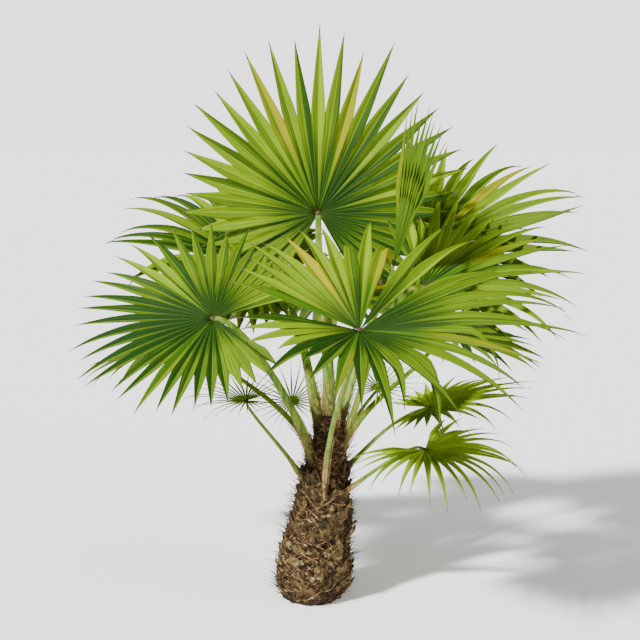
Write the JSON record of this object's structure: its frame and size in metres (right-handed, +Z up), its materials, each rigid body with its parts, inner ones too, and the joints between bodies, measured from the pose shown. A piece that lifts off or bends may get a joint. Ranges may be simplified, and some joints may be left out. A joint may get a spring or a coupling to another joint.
{
  "type": "young fan palm (chuniophoenix hainanensis)",
  "caption": "Young fan palm with a short stout fibrous trunk, cut leaf bases and round deeply split fan fronds on long petioles.",
  "frame": {"origin": "centre of the flat cut under the trunk, at ground level", "axes": "+Z up, +X to the right and -Y towards the viewer of the picture"},
  "size_m": [1.7708, 2.0772, 1.943],
  "materials": {
    "bark": "rough dark fibre matting",
    "petiole": "satin green stalk",
    "leaf": "satin pleated leaf",
    "leaf_yellow": "satin yellowing leaf",
    "leaf_tip": "dry dark leaflet tip",
    "fibre": "coarse brown sheath fibre"
  },
  "bodies": {
    "root": {"trunk": "bark", "petiole_front": "petiole", "blade_front": "leaf", "petiole_left": "petiole", "blade_left": "leaf", "petiole_top": "petiole", "blade_top": "leaf", "petiole_spear": "petiole", "blade_spear": "leaf", "petiole_right": "petiole", "blade_right": "leaf", "petiole_right_back": "petiole", "blade_right_back": "leaf", "petiole_left_back": "petiole", "blade_left_back": "leaf", "petiole_low_front": "petiole", "blade_low_front": "leaf", "petiole_low_right": "petiole", "blade_low_right": "leaf", "petiole_low_left": "petiole", "blade_low_left": "leaf", "petiole_low_left_back": "petiole", "blade_low_left_back": "leaf", "petiole_low_right_back": "petiole", "blade_low_right_back": "leaf", "petiole_back": "petiole", "blade_back": "leaf", "petiole_back_left": "petiole", "blade_back_left": "leaf", "petiole_back_right": "petiole", "blade_back_right": "leaf"}
  },
  "joints": []
}
